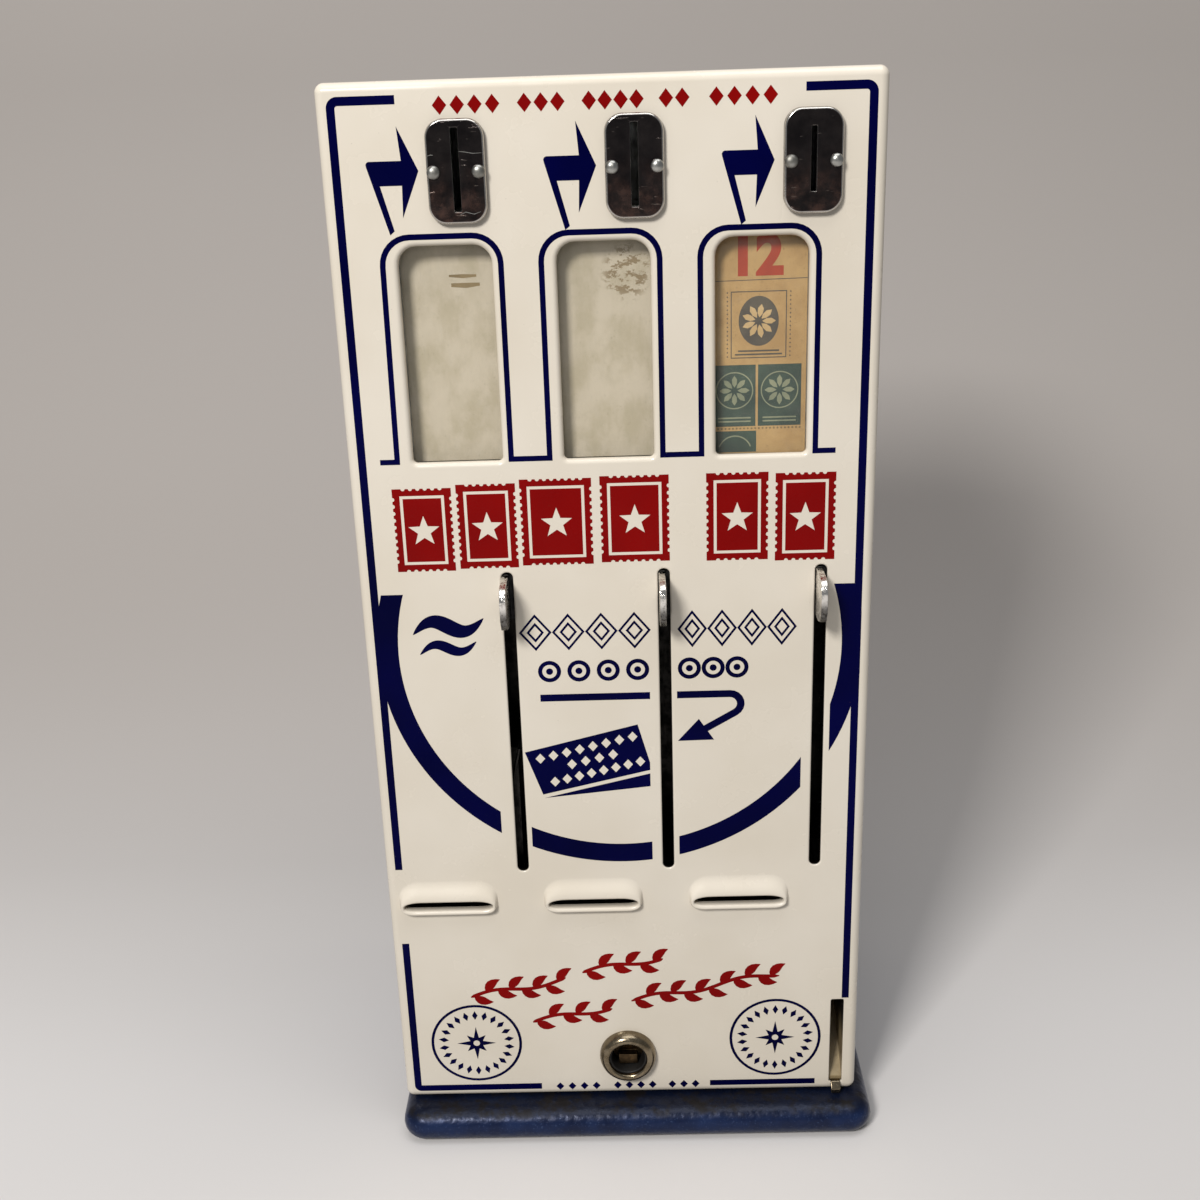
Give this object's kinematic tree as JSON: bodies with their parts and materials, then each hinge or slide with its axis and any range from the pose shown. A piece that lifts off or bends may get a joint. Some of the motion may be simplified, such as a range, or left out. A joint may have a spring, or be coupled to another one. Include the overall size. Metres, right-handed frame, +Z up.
{
  "type": "stamp vending machine",
  "caption": "Counter-top folder vending machine: sheet-steel cabinet on a cast base, hinged enamel cover with windows, coin slots, pull-down levers, delivery slots and a lock.",
  "frame": {"origin": "centre of the bounding box's underside, on the surface the base stands on", "axes": "+X to the machine's right as seen from the front, +Y backwards, +Z up"},
  "size_m": [0.1848, 0.15, 0.3945],
  "materials": {
    "enamel_blue": "hammered metallic enamel",
    "enamel_cream": "printed gloss enamel",
    "grey_primer": "dull paint",
    "dark_plating": "dark worn plating",
    "bright_plating": "bright plating",
    "zinc": "dull zinc plating",
    "spring_steel": "bare spring steel",
    "clear_pane": "clear sheet",
    "worn_plate": "worn cream lacquer",
    "tan_card": "printed card",
    "brass_plug": "dull brass"
  },
  "bodies": {
    "cabinet": {"base_casting": "enamel_blue", "case_shell": "enamel_blue", "case_screws": "zinc", "pivot_rivets": "zinc", "chassis_plate": "zinc", "chassis_screws": "zinc", "guide_brackets": "zinc", "latch_brackets": "zinc", "magazine_1": "zinc", "magazine_2": "zinc", "magazine_3": "zinc", "coin_chute_1": "zinc", "coin_chute_2": "zinc", "coin_chute_3": "zinc", "guide_rod_1": "bright_plating", "guide_rod_2": "bright_plating", "guide_rod_3": "bright_plating", "delivery_chute_1": "zinc", "delivery_chute_2": "zinc", "delivery_chute_3": "zinc", "coin_return_chute": "enamel_cream", "coin_tray": "zinc", "cash_box": "grey_primer", "strike_plate": "zinc", "folder_stack": "tan_card", "lever_spring_1": "spring_steel", "lever_spring_2": "spring_steel", "lever_spring_3": "spring_steel", "follower_spring_1": "spring_steel", "follower_spring_2": "spring_steel", "follower_spring_3": "spring_steel"},
    "cover": {"front_cover": "enamel_cream", "coin_plate_1": "dark_plating", "coin_plate_2": "dark_plating", "coin_plate_3": "dark_plating", "plate_rivets": "bright_plating", "window_pane_1": "clear_pane", "window_pane_2": "clear_pane", "window_pane_3": "clear_pane", "pane_clips": "zinc", "lock_bezel": "bright_plating", "lock_barrel": "zinc", "lock_nut": "zinc", "return_lip": "zinc"},
    "lock": {"lock_plug": "brass_plug", "lock_cam": "zinc", "cam_nut": "zinc"},
    "slide_1": {"lever_1": "bright_plating", "pusher_1": "zinc"},
    "slide_2": {"lever_2": "bright_plating", "pusher_2": "zinc"},
    "slide_3": {"lever_3": "bright_plating", "pusher_3": "zinc"},
    "feeder_1": {"follower_1": "worn_plate"},
    "feeder_2": {"follower_2": "worn_plate"},
    "feeder_3": {"follower_3": "worn_plate"},
    "folder": {"front_folder": "tan_card"},
    "latch_1": {"coin_latch_1": "brass_plug"},
    "latch_2": {"coin_latch_2": "brass_plug"},
    "latch_3": {"coin_latch_3": "brass_plug"}
  },
  "joints": [
    {"name": "cover_hinge", "type": "hinge", "parent": "cabinet", "child": "cover", "pos_m": [-0.0024, -0.043, 0.3883], "axis": [-1, 0, 0], "range_deg": [0, 85]},
    {"name": "lock_turn", "type": "hinge", "parent": "cover", "child": "lock", "pos_m": [-0.0028, -0.046, 0.0325], "axis": [0, 1, 0], "range_deg": [0, 90]},
    {"name": "lever_1_slide", "type": "slide", "parent": "cabinet", "child": "slide_1", "axis": [0, 0, -1], "range_m": [0, 0.0988], "stiffness_N_per_m": 15, "springref_m": -0.08, "deforming": ["lever_spring_1"]},
    {"name": "lever_2_slide", "type": "slide", "parent": "cabinet", "child": "slide_2", "axis": [0, 0, -1], "range_m": [0, 0.0988], "stiffness_N_per_m": 15, "springref_m": -0.08, "deforming": ["lever_spring_2"]},
    {"name": "lever_3_slide", "type": "slide", "parent": "cabinet", "child": "slide_3", "axis": [0, 0, -1], "range_m": [0, 0.0988], "stiffness_N_per_m": 15, "springref_m": -0.08, "deforming": ["lever_spring_3"]},
    {"name": "folder_feed", "type": "slide", "parent": "cabinet", "child": "folder", "axis": [0, 0, -1], "range_m": [0, 0.0988]},
    {"name": "feeder_1_slide", "type": "slide", "parent": "cabinet", "child": "feeder_1", "axis": [0, 1, 0], "range_m": [0, 0.07], "stiffness_N_per_m": 15, "springref_m": -0.05, "deforming": ["follower_spring_1"]},
    {"name": "feeder_2_slide", "type": "slide", "parent": "cabinet", "child": "feeder_2", "axis": [0, 1, 0], "range_m": [0, 0.07], "stiffness_N_per_m": 15, "springref_m": -0.05, "deforming": ["follower_spring_2"]},
    {"name": "feeder_3_slide", "type": "slide", "parent": "cabinet", "child": "feeder_3", "axis": [0, 1, 0], "range_m": [0, 0.034], "stiffness_N_per_m": 15, "springref_m": -0.05, "deforming": ["follower_spring_3"]},
    {"name": "latch_1_swing", "type": "hinge", "parent": "cabinet", "child": "latch_1", "pos_m": [-0.02815, -0.033, 0.2265], "axis": [-1, 0, 0], "range_deg": [0, 12], "stiffness_Nm_per_rad": 0.002, "springref_deg": -17.19},
    {"name": "latch_2_swing", "type": "hinge", "parent": "cabinet", "child": "latch_2", "pos_m": [0.0261, -0.033, 0.2265], "axis": [-1, 0, 0], "range_deg": [0, 12], "stiffness_Nm_per_rad": 0.002, "springref_deg": -17.19},
    {"name": "latch_3_swing", "type": "hinge", "parent": "cabinet", "child": "latch_3", "pos_m": [0.08035, -0.033, 0.2265], "axis": [-1, 0, 0], "range_deg": [0, 12], "stiffness_Nm_per_rad": 0.002, "springref_deg": -17.19}
  ],
  "couplings": [
    {"joint": "folder_feed", "follows": "lever_3_slide", "ratio": 1}
  ]
}
